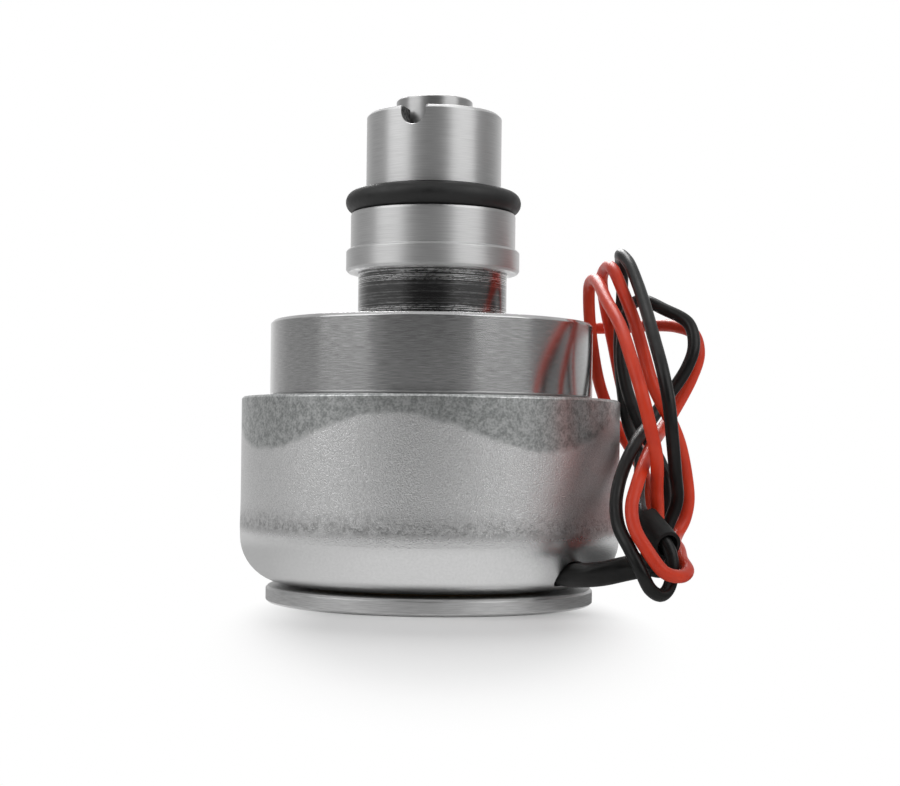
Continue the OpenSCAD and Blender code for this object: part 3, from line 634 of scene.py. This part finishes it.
# Surroundings
# White round about, seen directly and in the metal, and a softer grey as light.

world = bpy.data.worlds.new("white_room")
scene.world = world
world.use_nodes = True
plug(world.node_tree.nodes["Background"], {
    "Color": (1, 1, 1, 1), "Strength": spread(world, in_view(world), 0, 1, 0.3, 1.0, False)})

# Grey cards, painted reflections
# Glowing cards on the floor, round about and overhead that only the gloss of the metal shows: painted
# reflections of the room. They are darkest behind the camera and at the right, and light behind the part.

card_in, card_out, card_low, card_high = 21.7, 600, 0.05, 700
a = np.radians(np.linspace(-180, 180, 121))
row_out = np.array([card_in, card_out, card_out, 0])[:, None]
row_up = np.array([card_low, card_low, card_high, card_high])[:, None]
cards = surface("painted_reflection_cards", np.stack([row_out * np.sin(a), -row_out * np.cos(a),
                                        row_up * np.ones(a.size)], -1), False)
card, _ = blank("painted_reflection_card")
place = add(card, "ShaderNodeTexCoord").outputs["Object"]
xyz = add(card, "ShaderNodeSeparateXYZ", {"Vector": place})
height = xyz.outputs["Z"]
turn = reckon(card, "MULTIPLY_ADD", bearing(card, xyz), 0.5 / math.pi, 0.5)
# On the floor cards the greys fall near black from about 55 to 120 degrees to the right: painted shadow of
# the leads.
greys_by_degrees = {
    "floor_close": [(-180, 0.42), (-80, 0.46), (-50, 0.56), (-20, 0.64), (20, 0.66), (40, 0.6), (58, 0.25),
                    (80, 0.06), (115, 0.1), (145, 0.42)],
    "floor_far": [(-140, 0.6), (-100, 0.65), (-60, 0.65), (-35, 0.6), (20, 0.6), (45, 0.65), (72, 0.5),
                  (92, 0.1), (108, 0.2), (125, 0.6)],
    "wall_low": [(-160, 0.8), (-140, 0.5), (-120, 0.27), (-100, 0.2), (-60, 0.12), (-42, 0.07), (-30, 0.015),
                 (14, 0.015), (28, 0.05), (45, 0.1), (100, 0.18), (115, 0.3), (130, 0.5), (160, 0.9)],
    "wall_high": [(-150, 0.6), (-125, 0.45), (-100, 0.5), (-80, 0.34), (-55, 0.2), (-38, 0.24), (-28, 0.12),
                  (-19, 0.03), (11, 0.03), (20, 0.14), (30, 0.3), (50, 0.22), (75, 0.46), (100, 0.52),
                  (127, 0.45), (150, 0.7)],
}
shades = {part: ramp(card, turn, [(0.5 + degrees / 360, grey) for degrees, grey in row])
          for part, row in greys_by_degrees.items()}
distance = add(card, "ShaderNodeVectorMath", {0: place}, operation="LENGTH").outputs["Value"]
sheet = mixed(card, spread(card, distance, 0.04, 0.12), shades["floor_close"], shades["floor_far"])
wall = mixed(card, spread(card, height, 0.08, 0.3), shades["wall_low"], shades["wall_high"])
shade = mixed(card, spread(card, height, 0.001, 0.003), sheet, wall)
shade = mixed(card, spread(card, height, 0.697, 0.6995), shade, (0.65, 0.65, 0.65, 1))
# The cards glow with these greys, seen only in the gloss: painted reflections.
glow = add(card, "ShaderNodeEmission", {"Color": shade, "Strength": 1.0}).outputs[0]
plug(card.node_tree.nodes["Material Output"], {"Surface": glow})
cards.data.materials.append(card)
cards.visible_camera = cards.visible_diffuse = cards.visible_shadow = False

# Lamps
# A softbox on either side of the camera, and a tall one behind the part that throws its shadow forward.


def softbox(name, place, aim, width, height, power):
    """An area lamp at a place, in metres, turned to face another."""
    lamp = bpy.data.lights.new(name, "AREA")
    lamp.shape, lamp.size, lamp.size_y, lamp.energy = "RECTANGLE", width, height, power
    made = bpy.data.objects.new(name, lamp)
    scene.collection.objects.link(made)
    made.location = place
    made.rotation_euler = (Vector(aim) - Vector(place)).to_track_quat("-Z", "Y").to_euler()


softbox("left_box", (-0.371, -0.173, 0.317), (0, 0, 0.03), 0.38, 0.38, 0.76)
softbox("right_box", (0.323, -0.252, 0.317), (0, 0, 0.03), 0.38, 0.38, 0.76)
softbox("back_box", (-0.02, 0.5, 0.46), (0, 0, 0), 0.25, 0.6, 4.5)

# Camera
# At the photograph's height and distance, level, with the photograph's slight lean.

lens = bpy.data.cameras.new("camera")
lens.lens, lens.sensor_width = 67.94, 36
lens.shift_x, lens.shift_y = 0.02168, 0.0596
lens.clip_start, lens.clip_end = 0.01, 10
camera = bpy.data.objects.new("camera", lens)
scene.collection.objects.link(camera)
camera.location = (0, -0.2258, 0.02051)
camera.rotation_euler = (math.radians(90), math.radians(-0.696), 0)
scene.camera = camera
